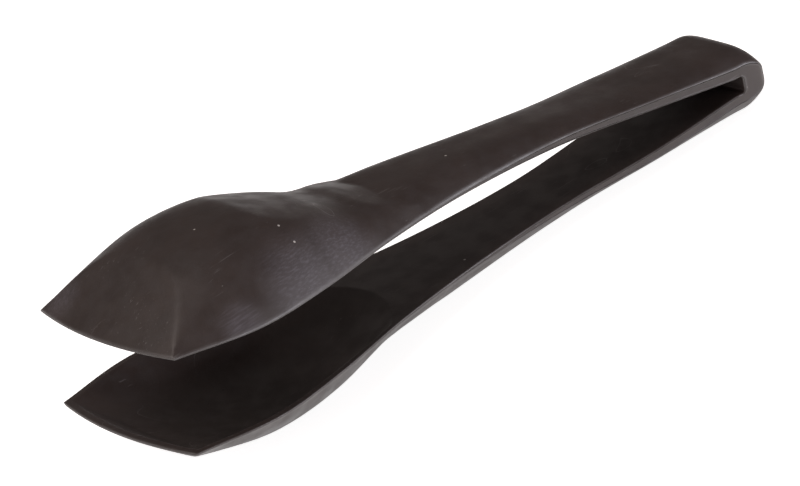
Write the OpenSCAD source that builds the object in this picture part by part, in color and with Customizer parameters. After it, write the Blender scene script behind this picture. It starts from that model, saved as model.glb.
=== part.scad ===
// One-piece spring tongs: two scoops on two arms that share one U-shaped spring bow.
// Each arm is drawn in its own arm frame: x runs from the scoop's front corners (0)
// to where the slot has its least gap, z is the height over the plane midway between the
// arms, and the tongs are then laid on their back on the table plane z = 0.

/* [Length] */
// Distance from the front corners of a scoop to where the slot has its least gap
arm_length = 200; // [160:5:260]
// How far the bow reaches beyond that
bow_wall = 11.5; // [9:0.5:13]
// How far the slot reaches beyond that, at its least gap
slot_reach = 3; // [0:0.5:4]

/* [Widths] */
// Width across the front corners of a scoop
tip_width = 58; // [50:1:66]
// Greatest width of a scoop
scoop_width = 67; // [60:1:76]
// Width of an arm at its narrowest
waist_width = 25; // [20:1:30]
// Width of the bow
bow_width = 29.5; // [28:0.5:38]

/* [Gaps] */
// Gap between the two rims at the front corners
jaw_gap = 26; // [20:1:32]
// Least gap between the arms, at the inner end of the slot
slot_gap = 4.6; // [4:0.2:7]

/* [Scoop] */
// Height of the upper scoop's back over its rim
upper_depth = 18.5; // [14:0.5:20]
// Height of the lower, shallower scoop's back over its rim
lower_depth = 12.8; // [10:0.2:17]
// How far the front edge bows forward of its corners
lip_bulge = 3.4; // [1:0.2:6]
// Thickness of the front edge
lip_edge = 0.8; // [0.8:0.1:1.6]
// Slope of the bevel behind the front edge, in degrees
bevel_slope = 37; // [30:1:50]
// Wall thickness of a scoop
scoop_wall = 2; // [1.6:0.1:2.6]

/* [Arms] */
// Height of an arm's side face at the waist
waist_edge = 2.1; // [1.6:0.1:3]
// Height of an arm's side face at the bow
bow_edge = 3.1; // [2.6:0.1:4]

/* [Hidden] */

plastic = [0.17, 0.15, 0.15];

// Where along the arm the nodes meet: behind the scoop's back edge, and at the hinge
scoop_end = 0.45 * arm_length;
hinge_x = arm_length - 8;

// Outlines along the arm, as [x, value] stations joined by smooth curves
width_line = [
    [0, tip_width / 2], [0.12 * arm_length, scoop_width / 2],
    [0.24 * arm_length, 0.437 * scoop_width], [0.375 * arm_length, 0.32 * scoop_width],
    [0.53 * arm_length, 0.61 * waist_width], [0.7 * arm_length, waist_width / 2],
    [0.86 * arm_length, 0.57 * waist_width], [1.03 * arm_length, bow_width / 2]
];
gap_line = [
    [0, jaw_gap / 2], [0.25 * arm_length, 0.434 * jaw_gap], [0.5 * arm_length, 0.378 * jaw_gap],
    [0.7 * arm_length, 0.302 * jaw_gap], [0.85 * arm_length, 0.213 * jaw_gap], [arm_length, slot_gap / 2]
];
edge_line = [
    [0, 0.5], [0.35 * arm_length, 0.75], [0.5 * arm_length, 1.25],
    [0.7 * arm_length, waist_edge], [arm_length, bow_edge]
];
crown_line = [
    [0.37 * arm_length, 5.8], [0.48 * arm_length, 6.3], [0.67 * arm_length, 4],
    [0.83 * arm_length, 2.1], [arm_length, 4.2]
];
// The power that sets how flat the arm's crown is across
crown_power = [
    [0.48 * arm_length, 4], [0.67 * arm_length, 3.6], [0.83 * arm_length, 4], [arm_length, 4.5]
];
// Height of a scoop's back along its length, as a share of its depth
depth_line = [
    [-lip_bulge, 0.32], [0.05 * arm_length, 0.67], [0.145 * arm_length, 1],
    [0.25 * arm_length, 0.97], [0.355 * arm_length, 0.51], [0.43 * arm_length, 0.485]
];

// The power that sets how flat the scoop's back is across
scoop_power = 3;

// Where the scoop's back runs out into the arm, and how steeply
crease_x = 0.425 * arm_length;
crease_bow = 24;
crease_slope = 17.5;
// Where the hollow of the scoop ends inside, and how steeply
hollow_end = 0.4 * arm_length;
hollow_slope = 22;

// How finely the skins are cut, across and along
across_steps = 20;
scoop_steps = 22;
arm_steps = 16;
bow_steps = 16;

// ---- Smooth curves through stations ----

function station_slope(s, i) =
    let (a = max(i - 1, 0), b = min(i + 1, len(s) - 1))
    (s[b][1] - s[a][1]) / (s[b][0] - s[a][0]);
function station_before(s, x, i = 0) =
    (i >= len(s) - 2 || x < s[i + 1][0]) ? i : station_before(s, x, i + 1);
function along(s, x_any) =
    let (x = max(s[0][0], min(x_any, s[len(s) - 1][0])), i = station_before(s, x))
    let (h = s[i + 1][0] - s[i][0], u = (x - s[i][0]) / h)
    (1 + 2 * u) * pow(1 - u, 2) * s[i][1] + u * pow(1 - u, 2) * h * station_slope(s, i)
    + u * u * (3 - 2 * u) * s[i + 1][1] + u * u * (u - 1) * h * station_slope(s, i + 1);

// ---- The arm's skins: u runs from -1 to 1 across the width ----

bow_nose = arm_length + bow_wall;
function half_width(x) = along(width_line, x);
function half_gap(x) = along(gap_line, x);
function edge_height(x) = along(edge_line, x);
function front_edge(y) = -lip_bulge * (1 - pow(2 * y / tip_width, 2));
function arm_height(x, u) = edge_height(x) + along(crown_line, x) * (1 - pow(abs(u), along(crown_power, x)));
function crease_at(x_middle, y) = x_middle - crease_bow * pow(2 * y / scoop_width, 2);
function back_height(depth, x, y, u) = min(
    edge_height(x) + depth * along(depth_line, x) * (1 - pow(abs(u), scoop_power)),
    lip_edge + (x - front_edge(y)) * tan(bevel_slope),
    arm_height(x, 0) + (crease_at(crease_x, y) - x) * tan(crease_slope));
function outer_height(depth, x, y, u) = x < 0.3 * arm_length
    ? back_height(depth, x, y, u)
    : max(back_height(depth, x, y, u), arm_height(x, u));
function hollow_depth(depth, x, y, u) = max(0, min(
    (edge_height(x) + depth * along(depth_line, x) - scoop_wall) * (1 - pow(abs(u), scoop_power)),
    (x - front_edge(y) - scoop_wall) * tan(bevel_slope),
    (crease_at(hollow_end, y) - x) * tan(hollow_slope)));

across = [for (i = [0 : across_steps]) sin(-90 + 180 * i / across_steps)];

// A scoop's stations fan out from the curved front edge to a straight back end
function scoop_x(i, y) = let (k = i / scoop_steps) front_edge(y) * pow(1 - k, 2) + scoop_end * k;
function scoop_outer_row(depth, i) = [for (u = across)
    let (x0 = scoop_end * i / scoop_steps, y = u * half_width(x0), x = scoop_x(i, y))
    [x, y, half_gap(x) + outer_height(depth, x, y, u)]];
function scoop_inner_row(depth, i) = [for (u = across)
    let (x0 = scoop_end * i / scoop_steps, y = u * half_width(x0), x = scoop_x(i, y))
    let (v = min(1, abs(y) / (half_width(x0) - scoop_wall)))
    [x, y, half_gap(x) + hollow_depth(depth, x, y, v)]];

function arm_outer_row(x) = [for (u = across) [x, u * half_width(x), half_gap(x) + arm_height(x, u)]];
function arm_inner_row(x) = [for (u = across) [x, u * half_width(x), half_gap(x)]];

// The bow keeps the arm's section up to its centre and is rounded over from there to its
// nose, and its corners are rounded in plan
bow_round = 8;
corner_round = 3;
bow_centre = bow_nose - bow_round;
function bow_half_width(x) = half_width(x) - corner_round
    + sqrt(pow(corner_round, 2) - pow(max(0, x - bow_nose + corner_round), 2));
function bow_x(i) = hinge_x + (bow_centre - hinge_x) * min(1, 2 * i / bow_steps)
    + (i > bow_steps / 2 ? bow_round * sin(88 * (2 * i / bow_steps - 1)) : 0);
function bow_fall(x) = sqrt(1 - pow(max(0, x - bow_centre) / bow_round, 2));
function bow_row(i, side) = let (x = bow_x(i)) [for (u = across)
    [x, u * bow_half_width(x), side * bow_fall(x) * (half_gap(x) + arm_height(x, u))]];

// ---- Solids ----

// Closed solid between two grids of points, the outer one above the inner one
module between(outer, inner) {
    m = len(outer);
    n = len(outer[0]);
    points = concat([for (row = outer) each row], [for (row = inner) each row]);
    half = m * n;
    skins = [for (i = [0 : m - 2]) for (j = [0 : n - 2])
        let (a = i * n + j, b = a + 1, c = a + n, d = c + 1)
        each [[a, b, d], [a, d, c], [half + a, half + d, half + b], [half + a, half + c, half + d]]];
    sides = [for (i = [0 : m - 2]) for (a = [i * n, i * n + n - 1])
        let (b = a + n, left = a == i * n)
        each left
            ? [[a, b, half + b], [a, half + b, half + a]]
            : [[a, half + b, b], [a, half + a, half + b]]];
    ends = [for (j = [0 : n - 2]) for (a = [j, (m - 1) * n + j])
        let (b = a + 1, front = a == j)
        each front
            ? [[a, half + b, b], [a, half + a, half + b]]
            : [[a, b, half + b], [a, half + b, half + a]]];
    polyhedron(points, concat(skins, sides, ends), convexity = 6);
}

module scoop(depth) {
    rows = [0 : scoop_steps];
    between([for (i = rows) scoop_outer_row(depth, i)], [for (i = rows) scoop_inner_row(depth, i)]);
}

module arm() {
    places = [for (i = [0 : arm_steps]) scoop_end + (hinge_x - scoop_end) * i / arm_steps];
    between([for (x = places) arm_outer_row(x)], [for (x = places) arm_inner_row(x)]);
}

// The slot between the arms, square at its inner end with small corner rounds
module slot() {
    corner = 0.8;
    corner_x = arm_length + slot_reach - corner;
    rotate([90, 0, 0])
        linear_extrude(height = 2 * bow_width, center = true)
            polygon(concat(
                [[hinge_x - 1, half_gap(hinge_x - 1)], [hinge_x - 1, -half_gap(hinge_x - 1)]],
                [for (a = [-90 : 30 : 0])
                    [corner_x + corner * cos(a), -slot_gap / 2 + corner + corner * sin(a)]],
                [for (a = [0 : 30 : 90])
                    [corner_x + corner * cos(a), slot_gap / 2 - corner + corner * sin(a)]]));
}

module bow() {
    rows = [0 : bow_steps];
    difference() {
        between([for (i = rows) bow_row(i, 1)], [for (i = rows) bow_row(i, -1)]);
        slot();
    }
}

// ---- Lying on the table: on the lower scoop's back and on the bow ----

bow_radius = slot_gap / 2 + arm_height(arm_length, 0);
function touch_angle(x) =
    let (z = half_gap(x) + back_height(lower_depth, x, 0, 0), d = norm([bow_centre - x, z]))
    atan2(z, bow_centre - x) - asin(bow_radius / d);
lie_angle = max([for (x = [0 : 1 : scoop_end]) touch_angle(x)]);
front_reach = (bow_centre + lip_bulge) * cos(lie_angle) + (jaw_gap / 2 + lip_edge) * sin(lie_angle);

module lying() {
    translate([(front_reach - bow_round) / 2, 0, bow_radius])
        rotate([0, lie_angle, 0])
            translate([-bow_centre, 0, 0])
                children();
}

module lower_scoop() {
    color(plastic) lying() mirror([0, 0, 1]) scoop(lower_depth);
}

module lower_arm() {
    color(plastic) lying() mirror([0, 0, 1]) arm();
}

module spring_bow() {
    color(plastic) lying() bow();
}

module upper_arm() {
    color(plastic) lying() arm();
}

module upper_scoop() {
    color(plastic) lying() scoop(upper_depth);
}

lower_scoop();
lower_arm();
spring_bow();
upper_arm();
upper_scoop();
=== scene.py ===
"""Looks of the one-piece spring tongs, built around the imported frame: smooth skins for
the five nodes, a worn satin nylon, and a pale studio."""
import math

import bpy
import numpy as np
from mathutils import Matrix, Vector


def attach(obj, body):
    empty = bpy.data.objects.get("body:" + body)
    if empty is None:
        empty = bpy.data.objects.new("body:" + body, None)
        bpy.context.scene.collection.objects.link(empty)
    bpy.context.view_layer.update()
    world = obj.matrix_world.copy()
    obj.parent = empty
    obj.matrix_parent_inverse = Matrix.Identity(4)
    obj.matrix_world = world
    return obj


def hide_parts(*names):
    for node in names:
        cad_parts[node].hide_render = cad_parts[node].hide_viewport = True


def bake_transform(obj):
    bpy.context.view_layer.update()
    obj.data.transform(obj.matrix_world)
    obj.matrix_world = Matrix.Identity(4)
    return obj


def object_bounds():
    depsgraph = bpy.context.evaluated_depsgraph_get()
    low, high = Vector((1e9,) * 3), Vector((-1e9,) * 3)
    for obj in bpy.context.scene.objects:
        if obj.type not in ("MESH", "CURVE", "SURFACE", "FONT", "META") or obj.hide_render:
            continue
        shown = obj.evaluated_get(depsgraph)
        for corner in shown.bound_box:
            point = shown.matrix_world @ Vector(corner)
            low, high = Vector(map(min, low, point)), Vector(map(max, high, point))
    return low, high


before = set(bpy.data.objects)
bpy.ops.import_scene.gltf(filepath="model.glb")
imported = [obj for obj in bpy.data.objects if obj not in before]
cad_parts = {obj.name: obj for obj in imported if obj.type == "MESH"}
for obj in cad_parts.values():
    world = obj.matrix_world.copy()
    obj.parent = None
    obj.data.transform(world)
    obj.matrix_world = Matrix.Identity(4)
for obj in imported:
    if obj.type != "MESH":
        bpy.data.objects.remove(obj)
cad_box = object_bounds()

MM = 0.001

# ---- Driving dimensions, in millimetres, the same as in the part's source ----

ARM_LENGTH = 200
BOW_WALL = 11.5
TIP_WIDTH = 58
SCOOP_WIDTH = 67
WAIST_WIDTH = 25
BOW_WIDTH = 29.5
JAW_GAP = 26
SLOT_GAP = 4.6
UPPER_DEPTH = 18.5
LOWER_DEPTH = 12.8
LIP_BULGE = 3.4
LIP_EDGE = 0.8
BEVEL_SLOPE = math.radians(37)
SCOOP_WALL = 2
WAIST_EDGE = 2.1
BOW_EDGE = 3.1
SCOOP_POWER = 3
CREASE_BOW = 24
CREASE_SLOPE = math.radians(17.5)
HOLLOW_SLOPE = math.radians(22)
BOW_ROUND = 8
CORNER_ROUND = 3
SLOT_REACH = 3
SLOT_CORNER = 0.8

SCOOP_END = 0.45 * ARM_LENGTH
HINGE_X = ARM_LENGTH - 8
CREASE_X = 0.425 * ARM_LENGTH
HOLLOW_END = 0.4 * ARM_LENGTH
SLOT_END = ARM_LENGTH + SLOT_REACH
BOW_NOSE = ARM_LENGTH + BOW_WALL
BOW_CENTRE = BOW_NOSE - BOW_ROUND


def stations(*pairs):
    """Stations along the arm, given as a share of its length and a value."""
    return np.array([(share * ARM_LENGTH, value) for share, value in pairs], float)


WIDTH_LINE = stations(
    (0, TIP_WIDTH / 2), (0.12, SCOOP_WIDTH / 2), (0.24, 0.437 * SCOOP_WIDTH),
    (0.375, 0.32 * SCOOP_WIDTH), (0.53, 0.61 * WAIST_WIDTH), (0.7, WAIST_WIDTH / 2),
    (0.86, 0.57 * WAIST_WIDTH), (1.03, BOW_WIDTH / 2))
GAP_LINE = stations(
    (0, JAW_GAP / 2), (0.25, 0.434 * JAW_GAP), (0.5, 0.378 * JAW_GAP),
    (0.7, 0.302 * JAW_GAP), (0.85, 0.213 * JAW_GAP), (1, SLOT_GAP / 2))
EDGE_LINE = stations((0, 0.5), (0.35, 0.75), (0.5, 1.25), (0.7, WAIST_EDGE), (1, BOW_EDGE))
CROWN_LINE = stations((0.37, 5.8), (0.48, 6.3), (0.67, 4), (0.83, 2.1), (1, 4.2))
CROWN_POWER = stations((0.48, 4), (0.67, 3.6), (0.83, 4), (1, 4.5))
DEPTH_LINE = stations(
    (-LIP_BULGE / ARM_LENGTH, 0.32), (0.05, 0.67), (0.145, 1),
    (0.25, 0.97), (0.355, 0.51), (0.43, 0.485))

# ---- Smooth curves and soft joins ----


def along(line, x):
    """Smooth curve through stations, with each slope taken from the neighbouring stations."""
    x = np.clip(x, line[0, 0], line[-1, 0])
    last = len(line) - 1
    after = line[np.minimum(np.arange(last + 1) + 1, last)]
    before = line[np.maximum(np.arange(last + 1) - 1, 0)]
    slopes = (after[:, 1] - before[:, 1]) / (after[:, 0] - before[:, 0])
    i = np.clip(np.searchsorted(line[:, 0], x, side="right") - 1, 0, last - 1)
    h = line[i + 1, 0] - line[i, 0]
    u = (x - line[i, 0]) / h
    return ((1 + 2 * u) * (1 - u) ** 2 * line[i, 1] + u * (1 - u) ** 2 * h * slopes[i]
            + u * u * (3 - 2 * u) * line[i + 1, 1] + u * u * (u - 1) * h * slopes[i + 1])


def soft_min(a, b, soft):
    """The lower of two heights, with the corner between them rounded over."""
    t = np.clip(0.5 + 0.5 * (b - a) / soft, 0, 1)
    return b * (1 - t) + a * t - soft * t * (1 - t)


def soft_max(a, b, soft):
    return -soft_min(-a, -b, soft)


# ---- The skins of an arm, in the arm frame of the part's source ----

# Heights over which a bevel's edge, a back's crease and a hollow's edge are rounded
BEVEL_SOFT = 0.35
CREASE_SOFT = 0.25
HOLLOW_SOFT = 0.18


def half_width(x):
    return along(WIDTH_LINE, x)


def half_gap(x):
    return along(GAP_LINE, x)


def edge_height(x):
    return along(EDGE_LINE, x)


def front_edge(y):
    return -LIP_BULGE * (1 - (2 * y / TIP_WIDTH) ** 2)


def arm_height(x, u):
    return edge_height(x) + along(CROWN_LINE, x) * (1 - np.abs(u) ** along(CROWN_POWER, x))


def crease_at(middle, y):
    return middle - CREASE_BOW * (2 * y / SCOOP_WIDTH) ** 2


def back_height(depth, x, y, u):
    dome = edge_height(x) + depth * along(DEPTH_LINE, x) * (1 - np.abs(u) ** SCOOP_POWER)
    bevel = LIP_EDGE + (x - front_edge(y)) * math.tan(BEVEL_SLOPE)
    run_out = arm_height(x, 0 * x) + (crease_at(CREASE_X, y) - x) * math.tan(CREASE_SLOPE)
    return soft_min(soft_min(dome, bevel, BEVEL_SOFT), run_out, BEVEL_SOFT)


def outer_height(depth, x, y, u):
    back = back_height(depth, x, y, u)
    return np.where(x < 0.3 * ARM_LENGTH, back, soft_max(back, arm_height(x, u), CREASE_SOFT))


def hollow_depth(depth, x, y, v):
    bowl = (edge_height(x) + depth * along(DEPTH_LINE, x) - SCOOP_WALL) * (1 - np.abs(v) ** SCOOP_POWER)
    bevel = (x - front_edge(y) - SCOOP_WALL) * math.tan(BEVEL_SLOPE)
    run_out = (crease_at(HOLLOW_END, y) - x) * math.tan(HOLLOW_SLOPE)
    inside = soft_min(soft_min(bowl, bevel, BEVEL_SOFT), run_out, BEVEL_SOFT)
    return np.where(x > SCOOP_END - 1, 0, soft_max(inside, 0 * inside, HOLLOW_SOFT))


EDGE_ROUND = 0.45


def edge_radius(x):
    """Radius that rounds the edges between the skins and the side faces."""
    return np.minimum(EDGE_ROUND, 0.4 * edge_height(x))


def rounding(distance, radius):
    """How far a skin drops at some distance from its edge, to round that edge."""
    left = np.clip(radius - distance, 0, radius)
    return radius - np.sqrt(radius ** 2 - left ** 2)


# ---- Placing: the tongs lie on the lower scoop's back and on the bow ----

BOW_RADIUS = SLOT_GAP / 2 + float(arm_height(np.array(ARM_LENGTH), np.array(0)))


def lie_angle():
    x = np.arange(0, SCOOP_END + 0.5)
    z = half_gap(x) + back_height(LOWER_DEPTH, x, 0 * x, 0 * x)
    reach = BOW_CENTRE - x
    return float(np.max(np.arctan2(z, reach) - np.arcsin(BOW_RADIUS / np.hypot(reach, z))))


LIE = lie_angle()


def to_row(p):
    """Arm-frame millimetres to the row frame in metres."""
    p = np.asarray(p, float)
    x = (p[..., 0] - BOW_CENTRE) * math.cos(LIE) + p[..., 2] * math.sin(LIE)
    z = -(p[..., 0] - BOW_CENTRE) * math.sin(LIE) + p[..., 2] * math.cos(LIE)
    shift = cad_box[1][0] / MM - BOW_ROUND
    return np.stack([x + shift, p[..., 1], z + BOW_RADIUS], -1) * MM


def turn_to_row(d):
    d = np.asarray(d, float)
    x = d[..., 0] * math.cos(LIE) + d[..., 2] * math.sin(LIE)
    z = -d[..., 0] * math.sin(LIE) + d[..., 2] * math.cos(LIE)
    return np.stack([x, d[..., 1], z], -1)


# ---- Grids of points ----

# Columns across: close together where the edges and the scoop's rim turn, even between.
# Those of the edge are shares of its radius, those of the rim are millimetres from the side
EDGE_COLUMNS = (0, 0.12, 0.3, 0.6, 1)
RIM_COLUMNS = (0.8, 1.2, 1.55, 1.8, 2.0, 2.2, 2.5, 3.0, 3.8)
MIDDLE_COLUMNS = 52
WALL_LEVELS = np.linspace(0, 1, 7)
ARM_ROWS = 86
BOW_STRAIGHT_ROWS = 8
BOW_TURN_ROWS = 34

# How far from an edge it is worn
WEAR_REACH = 1.1


def worn(distance):
    """Wear at some distance from an edge, from 1 at the edge to 0."""
    return np.clip(1 - distance / WEAR_REACH, 0, 1)


def columns(half, radius):
    """Places across the width and their distances from the nearer side."""
    edge = np.array([c * radius for c in EDGE_COLUMNS] + list(RIM_COLUMNS))
    middle = np.linspace(-1, 1, MIDDLE_COLUMNS + 2)[1:-1] * (half - edge[-1])
    y = np.concatenate([edge - half, middle, half - edge[::-1]])
    return y, half - np.abs(y)


# Rows in front of this are near enough to the lip for its edge to round and wear them
LIP_ROWS_END = 5


def scoop_rows():
    """Places along the scoop's middle line: dense at the lip and at both creases."""
    lip = [0, 0.03, 0.08, 0.14, 0.2, 0.4, 0.8, 1.3, 1.7, 2, 2.3, 2.8]
    even = np.arange(3.6, HOLLOW_END - 1.4 + LIP_BULGE, 0.85)
    at_hollow = HOLLOW_END + LIP_BULGE + np.arange(-1, 1.1, 0.2)
    between = HOLLOW_END + LIP_BULGE + np.arange(1.6, CREASE_X - HOLLOW_END - 1.2, 0.6)
    at_crease = CREASE_X + LIP_BULGE + np.arange(-1.2, 1.3, 0.2)
    behind = np.linspace(CREASE_X + 1.7, SCOOP_END, 8) + LIP_BULGE
    return np.concatenate([lip, even, at_hollow, between, at_crease, behind]) - LIP_BULGE


def edge_of_crease(middle):
    """Where a crease that bows back from its middle meets the side, found by repeated halving."""
    x = middle
    for _ in range(40):
        x = 0.5 * x + 0.5 * crease_at(middle, half_width(np.array(x)))
    return float(x)


def scoop_grid(depth):
    """Outer and inner skins of a scoop: its rows turn from the lip's curve to the creases'."""
    middle = scoop_rows()
    knots = [-LIP_BULGE, HOLLOW_END, CREASE_X, SCOOP_END]
    sides = [0, edge_of_crease(HOLLOW_END), edge_of_crease(CREASE_X), SCOOP_END]
    side = np.interp(middle, knots, sides)
    outer, inner, wear = [], [], []
    for x_middle, x_side in zip(middle, side):
        half = float(half_width(np.array(x_side)))
        radius = float(edge_radius(np.array(x_side)))
        y, to_side = columns(half, radius)
        x = x_middle + (x_side - x_middle) * (y / half) ** 2
        u = y / half
        near = to_side
        if x_middle < LIP_ROWS_END:
            near = np.minimum(to_side, x - front_edge(y))
        drop = rounding(near, radius)
        gap = half_gap(x)
        top = gap + outer_height(depth, x, y, u) - drop
        under = gap + hollow_depth(depth, x, y, np.abs(y) / (half - SCOOP_WALL)) + drop
        outer.append(np.stack([x, y, top], -1))
        inner.append(np.stack([x, y, under], -1))
        wear.append(worn(near))
    return np.array(outer), np.array(inner), np.array(wear)


def arm_grid():
    """Outer and inner skins of the strip between a scoop and the bow."""
    outer, inner, wear = [], [], []
    for x in np.linspace(SCOOP_END, HINGE_X, ARM_ROWS):
        half = float(half_width(np.array(x)))
        radius = float(edge_radius(np.array(x)))
        y, to_side = columns(half, radius)
        drop = rounding(to_side, radius)
        gap = float(half_gap(np.array(x)))
        place = np.full_like(y, x)
        outer.append(np.stack([place, y, gap + arm_height(place, y / half) - drop], -1))
        inner.append(np.stack([place, y, gap + drop], -1))
        wear.append(worn(to_side))
    return np.array(outer), np.array(inner), np.array(wear)


def bow_half_width(x):
    """Half width at the bow, whose corners are rounded in plan."""
    over = np.clip(x - BOW_NOSE + CORNER_ROUND, 0, CORNER_ROUND)
    return half_width(x) - CORNER_ROUND + np.sqrt(CORNER_ROUND ** 2 - over ** 2)


def slot_path(share):
    """Half of the slot's outline, from the hinge line to the middle of its inner end."""
    straight = SLOT_END - SLOT_CORNER - HINGE_X
    arc = SLOT_CORNER * math.pi / 2
    end = SLOT_GAP / 2 - SLOT_CORNER
    s = share * (straight + arc + end)
    if s <= straight:
        x = HINGE_X + s
        return x, float(half_gap(np.array(x)))
    if s <= straight + arc:
        turn = (s - straight) / SLOT_CORNER
        x = SLOT_END - SLOT_CORNER + SLOT_CORNER * math.sin(turn)
        return x, end + SLOT_CORNER * math.cos(turn)
    return SLOT_END, end - (s - straight - arc)


def bow_grid():
    """The bow's outer skin, round the nose from one arm to the other, and the slot's skin."""
    places = [(x, 0.0) for x in np.linspace(HINGE_X, BOW_CENTRE, BOW_STRAIGHT_ROWS + 1)[:-1]]
    places += [(BOW_CENTRE, turn) for turn in np.linspace(0, math.pi / 2, BOW_TURN_ROWS + 1)]
    outer, inner, wear = [], [], []
    for k, (start, turn) in enumerate(places):
        x = start + BOW_ROUND * math.sin(turn)
        radius = float(edge_radius(np.array(x)))
        half = float(bow_half_width(np.array(x - radius * math.sin(turn))))
        y, to_side = columns(half, radius)
        drop = rounding(to_side, radius)
        place = np.full_like(y, x)
        height = half_gap(place) + arm_height(place, y / half) - drop
        out = start + (BOW_ROUND - drop) * math.sin(turn)
        outer.append(np.stack([out, y, height * math.cos(turn)], -1))
        slot_x, slot_z = slot_path(k / (len(places) - 1))
        slot_half = float(half_width(np.array(slot_x)))
        slot_y, to_side = columns(slot_half, radius)
        drop = rounding(to_side, radius)
        turned = min(1, max(0, (slot_x - SLOT_END + SLOT_CORNER) / SLOT_CORNER))
        slot_point = [slot_x + drop * turned, slot_y, slot_z + drop * (1 - turned)]
        inner.append(np.stack(slot_point, -1))
        wear.append(worn(to_side))

    def whole(rows):
        half_rows = np.array(rows)
        return np.concatenate([half_rows, half_rows[-2::-1] * (1, 1, -1)])
    wear = np.array(wear)
    return whole(outer), whole(inner), np.concatenate([wear, wear[-2::-1]])


# ---- Meshes ----


def wall(outer_line, inner_line, widths=None):
    """Grid of points from an outer line of points to an inner one."""
    grid = np.array([outer_line + (inner_line - outer_line) * t for t in WALL_LEVELS])
    if widths is not None:
        side = np.sign(outer_line[0, 1])
        grid[..., 1] = side * widths(grid[..., 0])
    return grid


def shell(outer, inner, wear, rounded_plan=False):
    """Closed shell between two skins: grids, each with its wear, its facing and whether it is
    a cut that the next piece hides."""
    level_wear = np.abs(2 * WALL_LEVELS - 1) ** 3
    parts = [(outer, wear, False, False), (inner, wear, True, False)]
    for column, flip in ((0, True), (-1, False)):
        widths = bow_half_width if rounded_plan else None
        grid = wall(outer[:, column], inner[:, column], widths)
        if rounded_plan:
            grid[0] = outer[:, column]
            grid[-1] = inner[:, column]
        parts.append((grid, np.repeat(level_wear[:, None], grid.shape[1], 1), flip, False))
    has_lip = outer[0, 0, 0] < 1
    for row, flip in ((0, False), (-1, True)):
        grid = wall(outer[row], inner[row])
        is_cut = row != 0 or not has_lip
        end_wear = np.repeat(level_wear[:, None], grid.shape[1], 1) * (not is_cut)
        parts.append((grid, end_wear, flip, is_cut))
    return parts


def weld_keys(points):
    """Whole numbers that are the same for points at one place."""
    return np.round(points * 1e5).astype(np.int64)


def weld(parts, mirrored):
    """Vertices, faces, wear and cut marks from grids that share their border points."""
    points, faces, wears, cuts = [], [], [], []
    start = 0
    for grid, wear, flip, is_cut in parts:
        m, n = grid.shape[:2]
        points.append(grid.reshape(-1, 3))
        wears.append(wear.reshape(-1))
        ids = start + np.arange(m * n).reshape(m, n)
        corners = [ids[:-1, :-1], ids[1:, :-1], ids[1:, 1:], ids[:-1, 1:]]
        quads = np.stack(corners, -1).reshape(-1, 4)
        if flip != mirrored:
            quads = quads[:, ::-1]
        faces.append(quads)
        cuts.append(np.full(len(quads), is_cut))
        start += m * n
    points = np.concatenate(points)
    if mirrored:
        points = points * (1, 1, -1)
    keys = weld_keys(points)
    _, first, index = np.unique(keys, axis=0, return_index=True, return_inverse=True)
    index = index.reshape(-1)
    wear = np.zeros(len(first))
    np.maximum.at(wear, index, np.concatenate(wears))
    return points[first], index[np.concatenate(faces)], wear, np.concatenate(cuts)


def surface_normals(pieces):
    """Normals at every piece's vertices, taken over the whole tongs so that no cut shows."""
    keys, normals = [], []
    for points, faces, _, cuts in pieces:
        shown = faces[~cuts]
        a, b, c, d = (points[shown[:, k]] for k in range(4))
        area = np.cross(c - a, d - b)
        own = np.zeros_like(points)
        for k in range(4):
            np.add.at(own, shown[:, k], area)
        keys.append(weld_keys(points))
        normals.append(own)
    _, index = np.unique(np.concatenate(keys), axis=0, return_inverse=True)
    index = index.reshape(-1)
    total = np.zeros((index.max() + 1, 3))
    np.add.at(total, index, np.concatenate(normals))
    total /= np.maximum(np.linalg.norm(total, axis=1, keepdims=True), 1e-12)
    split = np.cumsum([len(k) for k in keys])[:-1]
    return np.split(total[index], split)


def make_piece(name, data, normals, material):
    points, faces, wear, _ = data
    keep = [tuple(dict.fromkeys(f)) for f in faces.tolist()]
    keep = [f for f in keep if len(f) > 2]
    mesh = bpy.data.meshes.new(name)
    mesh.from_pydata(to_row(points).tolist(), [], keep)
    mesh.validate()
    mesh.shade_smooth()
    attribute = mesh.attributes.new("wear", "FLOAT", "POINT")
    attribute.data.foreach_set("value", wear.astype(np.float32))
    mesh.normals_split_custom_set_from_vertices(turn_to_row(normals).tolist())
    mesh.materials.append(material)
    piece = bpy.data.objects.new(name, mesh)
    bpy.context.scene.collection.objects.link(piece)
    return piece


# ---- Materials ----


def add(tree, kind, settings=None, **inputs):
    """A node with its settings and socket values. A value that is a socket is linked, and an
    input such as _0 is a socket's number."""
    made = tree.nodes.new(kind)
    for name, value in (settings or {}).items():
        setattr(made, name, value)
    for name, value in inputs.items():
        key = int(name[1:]) if name[0] == "_" else name.replace("_", " ")
        socket = made.inputs[key]
        if isinstance(value, bpy.types.NodeSocket):
            tree.links.new(value, socket)
        else:
            socket.default_value = value
    return made


def maths(tree, operation, a, b=0.0):
    return add(tree, "ShaderNodeMath", {"operation": operation}, _0=a, _1=b).outputs[0]


def noise(tree, coords, scale, detail=3.0, distortion=0.0):
    made = add(tree, "ShaderNodeTexNoise", Vector=coords, Scale=scale, Detail=detail,
               Distortion=distortion)
    return made.outputs[0]


def ranged(tree, value, low, high, to_low=0.0, to_high=1.0):
    """Maps low..high to to_low..to_high with a smooth step."""
    made = add(tree, "ShaderNodeMapRange", {"interpolation_type": "SMOOTHSTEP"}, _0=value)
    for k, bound in enumerate((low, high, to_low, to_high)):
        made.inputs[k + 1].default_value = bound
    return made.outputs[0]


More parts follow.
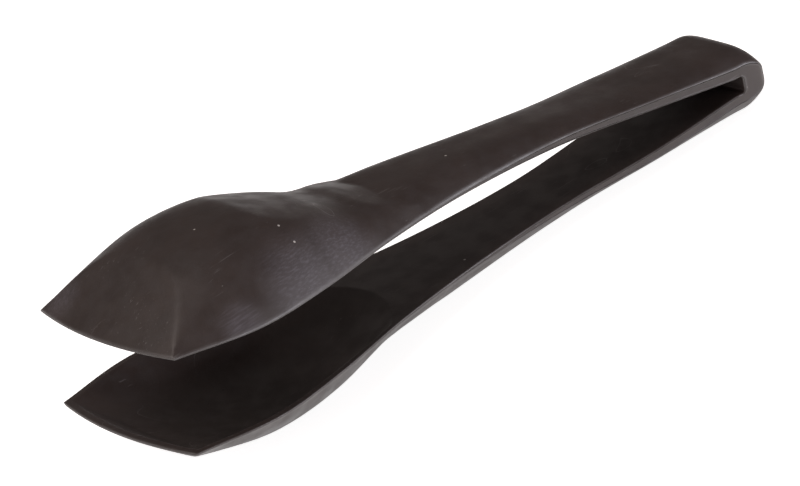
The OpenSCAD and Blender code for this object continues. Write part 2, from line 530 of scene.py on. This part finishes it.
def tint(tree, factor, under, over):
    """Mixes from one colour to another."""
    made = tree.nodes.new("ShaderNodeMix")
    made.data_type = "RGBA"
    tree.links.new(factor, made.inputs[0])
    for socket, value in ((made.inputs[6], under), (made.inputs[7], over)):
        if isinstance(value, bpy.types.NodeSocket):
            tree.links.new(value, socket)
        else:
            socket.default_value = (*value, 1)
    return made.outputs[2]


def stretched(tree, coords, turn, scale):
    made = add(tree, "ShaderNodeMapping", Vector=coords)
    made.inputs["Rotation"].default_value = turn
    made.inputs["Scale"].default_value = scale
    return made.outputs[0]


DARK_BROWN = (0.0215, 0.0142, 0.0125)
BROWN = (0.0285, 0.0192, 0.0168)
GREY_BROWN = (0.034, 0.028, 0.0285)
SCRATCHED = (0.11, 0.1, 0.1)
# Light lavender for the scuffs, which also paints a sheen on the near wall of the scoop
SCUFFED_AND_SHEEN = (0.13, 0.12, 0.14)
RUBBED = (0.11, 0.105, 0.105)
FILLER = (0.42, 0.4, 0.38)
PINHOLE = (0.004, 0.004, 0.004)

# Where the tongs have been rubbed most, three of them on the near wall, where they also carry a painted
# lavender sheen: place in the arm frame and radius, in millimetres
SCUFFS_AND_SHEEN = (((44, -30, 17), 17), ((60, -23, 16), 15), ((4, 22, 15), 9), ((20, -31, 14), 8))


def scuff_and_sheen_places(tree, coords):
    """Soft spots at the rubbed places, which also carry a painted sheen, from 0 to 1."""
    total = None
    for place, radius in SCUFFS_AND_SHEEN:
        away = add(tree, "ShaderNodeVectorMath", {"operation": "DISTANCE"}, _0=coords)
        away.inputs[1].default_value = tuple(to_row(place))
        spot = ranged(tree, away.outputs["Value"], radius * MM, 0.2 * radius * MM)
        total = spot if total is None else maths(tree, "MAXIMUM", total, spot)
    return total


def nylon():
    """Dark brown-black glass-filled nylon: mottled, finely grained, scuffed, with a painted lavender
    sheen on the scoop's near wall, and with pale specks.
    """
    material = bpy.data.materials.new("nylon")
    material.use_nodes = True
    tree = material.node_tree
    shader = tree.nodes["Principled BSDF"]
    coords = add(tree, "ShaderNodeTexCoord").outputs["Object"]

    mottle = ranged(tree, noise(tree, coords, 90.0, 6.0), 0.32, 0.7)
    cloud = ranged(tree, noise(tree, coords, 330.0, 3.0), 0.3, 0.7)
    colour = tint(tree, mottle, DARK_BROWN, BROWN)
    colour = tint(tree, maths(tree, "MULTIPLY", cloud, 0.3), colour, GREY_BROWN)

    # Hair scratches along the arms, broken up, and longer curling ones
    lengthwise = stretched(tree, coords, (0.0, 0.09, 0.12), (45.0, 1500.0, 1500.0))
    streaks = noise(tree, lengthwise, 1.0, 2.0)
    broken = ranged(tree, noise(tree, coords, 75.0, 2.0), 0.5, 0.66)
    hair = maths(tree, "MULTIPLY", ranged(tree, streaks, 0.64, 0.72), broken)
    swirl = noise(tree, coords, 38.0, 1.0, 1.2)
    contour = maths(tree, "ABSOLUTE", maths(tree, "SUBTRACT", swirl, 0.5))
    curl = ranged(tree, contour, 0.0035, 0.001)
    gaps = ranged(tree, noise(tree, coords, 26.0, 1.0), 0.6, 0.66)
    curl = maths(tree, "MULTIPLY", curl, gaps)
    scratches = maths(tree, "MAXIMUM", hair, curl)

    # Scuffs and painted sheen: streaky light patches where the scoop is rubbed, over a soft painted
    # lavender sheen on the near wall, where the streaks never fall below 0.3
    slantwise = stretched(tree, coords, (0.3, 0.5, 0.7), (170.0, 2100.0, 2100.0))
    rub_streaks_on_sheen = ranged(tree, noise(tree, slantwise, 1.0, 2.0), 0.4, 0.85, 0.3, 1.0)
    scuff_and_sheen = maths(tree, "MULTIPLY", scuff_and_sheen_places(tree, coords), rub_streaks_on_sheen)
    colour = tint(tree, maths(tree, "MULTIPLY", scratches, 0.5), colour, SCRATCHED)
    # Scuff colour mixed in: partly real scuffing, partly a painted lavender sheen
    colour = tint(tree, maths(tree, "MULTIPLY", scuff_and_sheen, 0.6), colour, SCUFFED_AND_SHEEN)

    # Rubbed edges, from the mesh's own edge mask
    edge = add(tree, "ShaderNodeAttribute", {"attribute_name": "wear"}).outputs["Fac"]
    rub = ranged(tree, noise(tree, coords, 150.0, 3.0), 0.2, 0.65, 0.35, 1.0)
    rubbed = maths(tree, "MULTIPLY", ranged(tree, edge, 0.45, 1.0), rub)
    colour = tint(tree, maths(tree, "MULTIPLY", rubbed, 0.5), colour, RUBBED)

    # Pale specks of filler, and a few dark pinholes
    cells = add(tree, "ShaderNodeTexVoronoi", Vector=coords, Scale=240.0)
    rare = add(tree, "ShaderNodeSeparateColor", Color=cells.outputs["Color"])
    dot = ranged(tree, cells.outputs["Distance"], 0.1, 0.05)
    speck = maths(tree, "MULTIPLY", dot, maths(tree, "GREATER_THAN", rare.outputs[0], 0.93))
    pit = maths(tree, "MULTIPLY", dot, maths(tree, "GREATER_THAN", rare.outputs[1], 0.985))
    colour = tint(tree, speck, colour, FILLER)
    colour = tint(tree, pit, colour, PINHOLE)
    tree.links.new(colour, shader.inputs["Base Color"])

    rough = ranged(tree, noise(tree, coords, 160.0, 3.0), 0.3, 0.7, 0.42, 0.56)
    rough = maths(tree, "ADD", rough, maths(tree, "MULTIPLY", scuff_and_sheen, 0.12))
    rough = maths(tree, "SUBTRACT", rough, maths(tree, "MULTIPLY", rubbed, 0.1))
    tree.links.new(rough, shader.inputs["Roughness"])

    # A slight waviness, the moulded grain on it, and the scratches and pinholes cut into that
    grain = noise(tree, coords, 1700.0, 2.0)
    swell = noise(tree, coords, 110.0, 2.0)
    waves = add(tree, "ShaderNodeBump", Height=swell, Strength=0.5, Distance=0.00002)
    fine = add(tree, "ShaderNodeBump", Height=grain, Strength=0.5, Distance=0.00005,
               Normal=waves.outputs[0])
    marks = maths(tree, "MAXIMUM", scratches, pit)
    cut = add(tree, "ShaderNodeBump", {"invert": True}, Height=marks, Strength=0.5,
              Distance=0.00006, Normal=fine.outputs[0])
    tree.links.new(cut.outputs[0], shader.inputs["Normal"])
    return material


def floor_material():
    """A pale floor that also glows, so that it stays an even white under soft light."""
    material = bpy.data.materials.new("pale_floor")
    material.use_nodes = True
    tree = material.node_tree
    shader = tree.nodes["Principled BSDF"]
    coords = add(tree, "ShaderNodeTexCoord").outputs["Object"]
    paper = ranged(tree, noise(tree, coords, 60.0), 0.2, 0.8)
    white = tint(tree, paper, (0.88, 0.88, 0.88), (0.9, 0.9, 0.9))
    tree.links.new(white, shader.inputs["Base Color"])
    shader.inputs["Roughness"].default_value = 0.8
    shader.inputs["Emission Color"].default_value = (1, 1, 1, 1)
    shader.inputs["Emission Strength"].default_value = 0.85
    return material


# ---- Building ----

NYLON = nylon()
upper = weld(shell(*scoop_grid(UPPER_DEPTH)), False)
lower = weld(shell(*scoop_grid(LOWER_DEPTH)), True)
upper_strip = weld(shell(*arm_grid()), False)
lower_strip = weld(shell(*arm_grid()), True)
bend = weld(shell(*bow_grid(), rounded_plan=True), False)
names = ["upper_scoop", "lower_scoop", "upper_arm", "lower_arm", "spring_bow"]
pieces = [upper, lower, upper_strip, lower_strip, bend]
normals = surface_normals(pieces)
made = {n: make_piece(n + "_skin", d, m, NYLON) for n, d, m in zip(names, pieces, normals)}
for name, piece in made.items():
    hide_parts(name)
for name in ("lower_scoop", "lower_arm", "spring_bow"):
    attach(made[name], "lower_jaw")
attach(made["upper_scoop"], "upper_jaw")
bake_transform(made["upper_arm"])

# ---- Studio ----

FLOOR_REACH = 3.0


def floor():
    mesh = bpy.data.meshes.new("floor")
    corners = [(x * FLOOR_REACH, y * FLOOR_REACH, 0) for x, y in ((-1, -1), (1, -1), (1, 1), (-1, 1))]
    mesh.from_pydata(corners, [], [(0, 1, 2, 3)])
    mesh.materials.append(floor_material())
    sheet = bpy.data.objects.new("floor", mesh)
    bpy.context.scene.collection.objects.link(sheet)


def area_light(name, place, target, size, power, colour):
    """A rectangular light, in metres and watts, turned to a target."""
    light = bpy.data.lights.new(name, "AREA")
    light.shape = "RECTANGLE"
    light.size = size[0]
    light.size_y = size[1]
    light.energy = power
    light.color = colour
    lamp = bpy.data.objects.new(name, light)
    lamp.location = place
    lamp.rotation_euler = (Vector(target) - Vector(place)).to_track_quat("-Z", "Y").to_euler()
    bpy.context.scene.collection.objects.link(lamp)


def studio():
    world = bpy.data.worlds.new("studio")
    world.use_nodes = True
    world.node_tree.nodes["Background"].inputs["Color"].default_value = (1, 0.88, 0.83, 1)
    world.node_tree.nodes["Background"].inputs["Strength"].default_value = 0.2
    bpy.context.scene.world = world
    bpy.context.scene.view_settings.view_transform = "Standard"
    area_light("top", (-0.7, 0.1, 1.4), (0, 0, 0), (1.1, 1.1), 13, (1, 0.89, 0.84))
    area_light("left", (-1.5, -0.2, 0.6), (-0.1, 0, 0.03), (0.6, 0.6), 4, (1, 0.92, 0.9))
    area_light("front", (0.8, -1.4, 0.14), (0, 0, 0.03), (1.4, 0.24), 15, (0.93, 0.92, 1))


# The camera: where it looks, in the row frame in millimetres, from how far, and which way.
# Its azimuth turns from +Y towards +X, its elevation is how far it looks down
AIM = (-33.1, -35.6, 39.1)
CAMERA_DISTANCE = 1360
CAMERA_AZIMUTH = math.radians(32.03)
CAMERA_ELEVATION = math.radians(26.43)
CAMERA_ROLL = math.radians(-17.61)


def camera():
    lens_camera = bpy.data.cameras.new("camera")
    lens_camera.sensor_width = 36
    lens_camera.lens = 243.25
    lens_camera.clip_end = 20
    level = math.cos(CAMERA_ELEVATION)
    forward = Vector((level * math.sin(CAMERA_AZIMUTH), level * math.cos(CAMERA_AZIMUTH),
                      -math.sin(CAMERA_ELEVATION)))
    flat_right = forward.cross(Vector((0, 0, 1))).normalized()
    flat_up = flat_right.cross(forward)
    right = flat_right * math.cos(CAMERA_ROLL) + flat_up * math.sin(CAMERA_ROLL)
    turned = Matrix((right, right.cross(forward), -forward)).transposed()
    place = (Vector(AIM) - CAMERA_DISTANCE * forward) * MM
    eye = bpy.data.objects.new("camera", lens_camera)
    eye.matrix_world = Matrix.Translation(place) @ turned.to_4x4()
    bpy.context.scene.collection.objects.link(eye)
    bpy.context.scene.camera = eye


floor()
studio()
camera()
